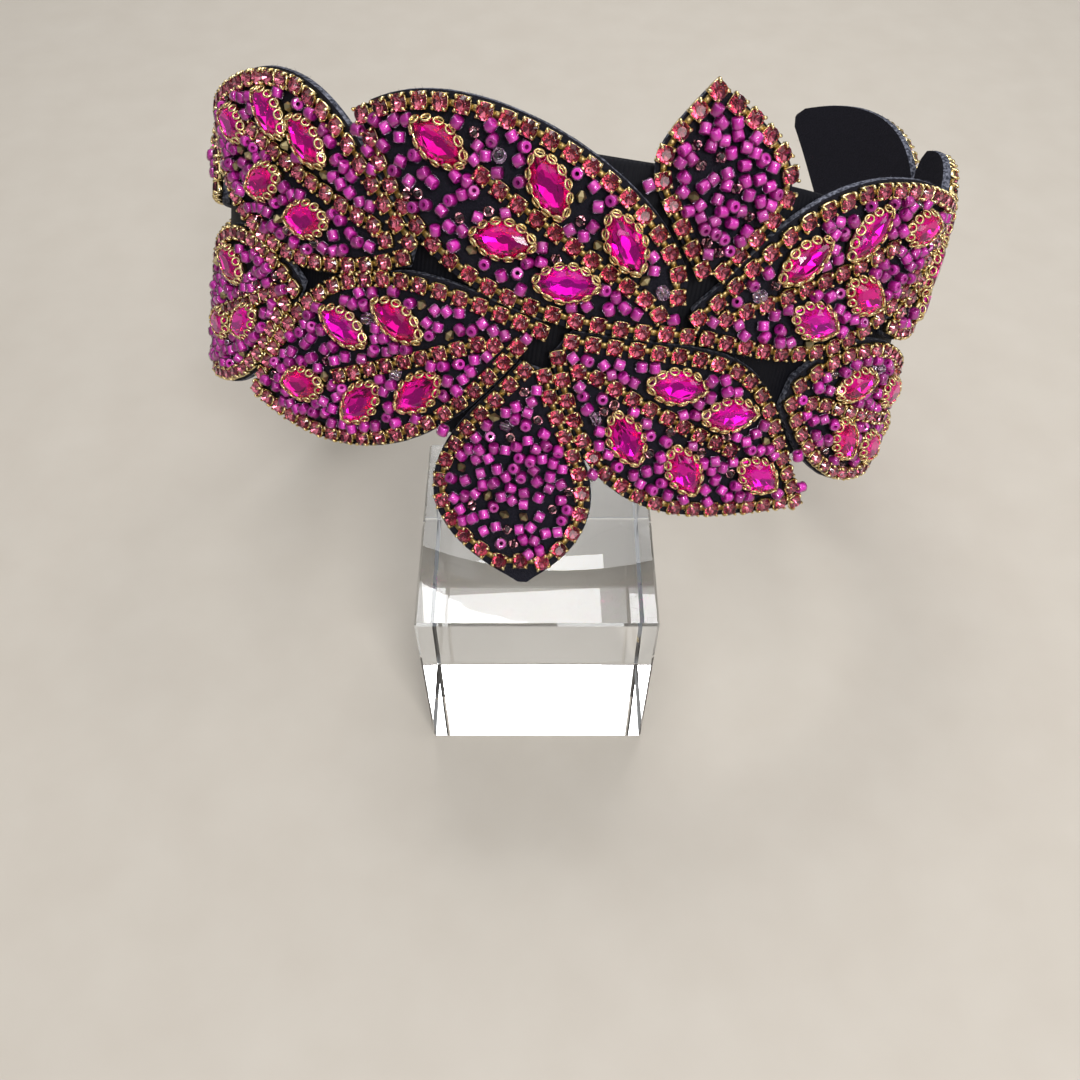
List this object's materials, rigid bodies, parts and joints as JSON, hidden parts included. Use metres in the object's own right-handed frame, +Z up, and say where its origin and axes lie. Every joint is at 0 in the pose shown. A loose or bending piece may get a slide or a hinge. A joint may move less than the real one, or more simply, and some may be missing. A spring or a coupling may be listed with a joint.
{
  "type": "jewelled headband on a clear display block",
  "caption": "Wide arched headband of black felt leaves outlined in gold cup chain, set with pointed oval pink stones and lined seed beads, resting on a clear glass block.",
  "frame": {"origin": "middle of the display block's underside, on the surface that it all stands on", "axes": "+X to the right of someone facing the band's front, +Y back along its legs, +Z up"},
  "size_m": [0.1721, 0.1484, 0.1341],
  "materials": {
    "clear_glass": "polished",
    "black_satin": "fine ribbed satin",
    "black_felt": "matt felt with a cut edge",
    "gold_cups": "polished gold plate",
    "pink_stone": "faceted, foiled back"
  },
  "bodies": {
    "root": {"display_block": "clear_glass", "band_core": "black_satin", "felt_petal_top": "black_felt", "felt_petal_bottom": "black_felt", "felt_front_left_upper": "black_felt", "felt_front_left_lower": "black_felt", "felt_front_right_upper": "black_felt", "felt_front_right_lower": "black_felt", "felt_side_left_upper": "black_felt", "felt_side_left_lower": "black_felt", "felt_side_right_upper": "black_felt", "felt_side_right_lower": "black_felt", "felt_rear_left_upper": "black_felt", "felt_rear_left_lower": "black_felt", "felt_rear_right_upper": "black_felt", "felt_rear_right_lower": "black_felt", "chain_petal_top": "gold_cups", "chain_petal_bottom": "gold_cups", "chain_front_left_upper": "gold_cups", "chain_front_left_lower": "gold_cups", "chain_front_right_upper": "gold_cups", "chain_front_right_lower": "gold_cups", "chain_side_left_upper": "gold_cups", "chain_side_left_lower": "gold_cups", "chain_side_right_upper": "gold_cups", "chain_side_right_lower": "gold_cups", "chain_rear_left_upper": "gold_cups", "chain_rear_left_lower": "gold_cups", "chain_rear_right_upper": "gold_cups", "chain_rear_right_lower": "gold_cups", "stone_front_left_upper_1": "pink_stone", "stone_front_left_upper_2": "pink_stone", "stone_front_left_upper_3": "pink_stone", "stone_front_left_upper_4": "pink_stone", "stone_front_left_upper_5": "pink_stone", "stone_front_left_lower_1": "pink_stone", "stone_front_left_lower_2": "pink_stone", "stone_front_left_lower_3": "pink_stone", "stone_front_left_lower_4": "pink_stone", "stone_front_left_lower_5": "pink_stone", "stone_front_right_upper_1": "pink_stone", "stone_front_right_upper_2": "pink_stone", "stone_front_right_upper_3": "pink_stone", "stone_front_right_upper_4": "pink_stone", "stone_front_right_upper_5": "pink_stone", "stone_front_right_lower_1": "pink_stone", "stone_front_right_lower_2": "pink_stone", "stone_front_right_lower_3": "pink_stone", "stone_front_right_lower_4": "pink_stone", "stone_front_right_lower_5": "pink_stone", "stone_side_left_upper_1": "pink_stone", "stone_side_left_upper_2": "pink_stone", "stone_side_left_upper_3": "pink_stone", "stone_side_left_upper_4": "pink_stone", "stone_side_left_upper_5": "pink_stone", "stone_side_right_lower_1": "pink_stone", "stone_side_right_lower_2": "pink_stone", "stone_side_right_lower_3": "pink_stone", "stone_side_right_lower_4": "pink_stone", "stone_side_right_lower_5": "pink_stone"}
  },
  "joints": []
}
